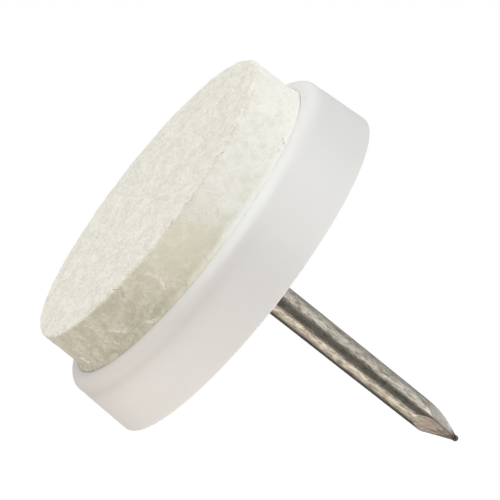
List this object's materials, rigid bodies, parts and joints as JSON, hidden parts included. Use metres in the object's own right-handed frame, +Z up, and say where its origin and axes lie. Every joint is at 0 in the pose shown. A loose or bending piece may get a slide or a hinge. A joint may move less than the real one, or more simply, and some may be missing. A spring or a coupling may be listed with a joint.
{
  "type": "nail-on furniture glide",
  "caption": "Round nail-on glide for a furniture leg: a cream felt disc set in a white moulded cup with a rounded lip, and a steel wire nail standing from the flat back.",
  "frame": {"origin": "centre of the felt's sliding face, on the floor that the glide stands on", "axes": "+Z up along the nail from the sliding face to the tip; +X and +Y lie in the sliding face, and the piece is round about Z"},
  "size_m": [0.028, 0.028, 0.0292],
  "materials": {
    "felt": "pressed cream wool felt, matt and fibrous",
    "white_plastic": "white moulded plastic, satin",
    "bright_steel": "plain drawn steel wire, dulled, with drawing lines along it"
  },
  "bodies": {
    "root": {"felt_pad": "felt", "moulded_cup": "white_plastic", "steel_nail": "bright_steel"}
  },
  "joints": []
}
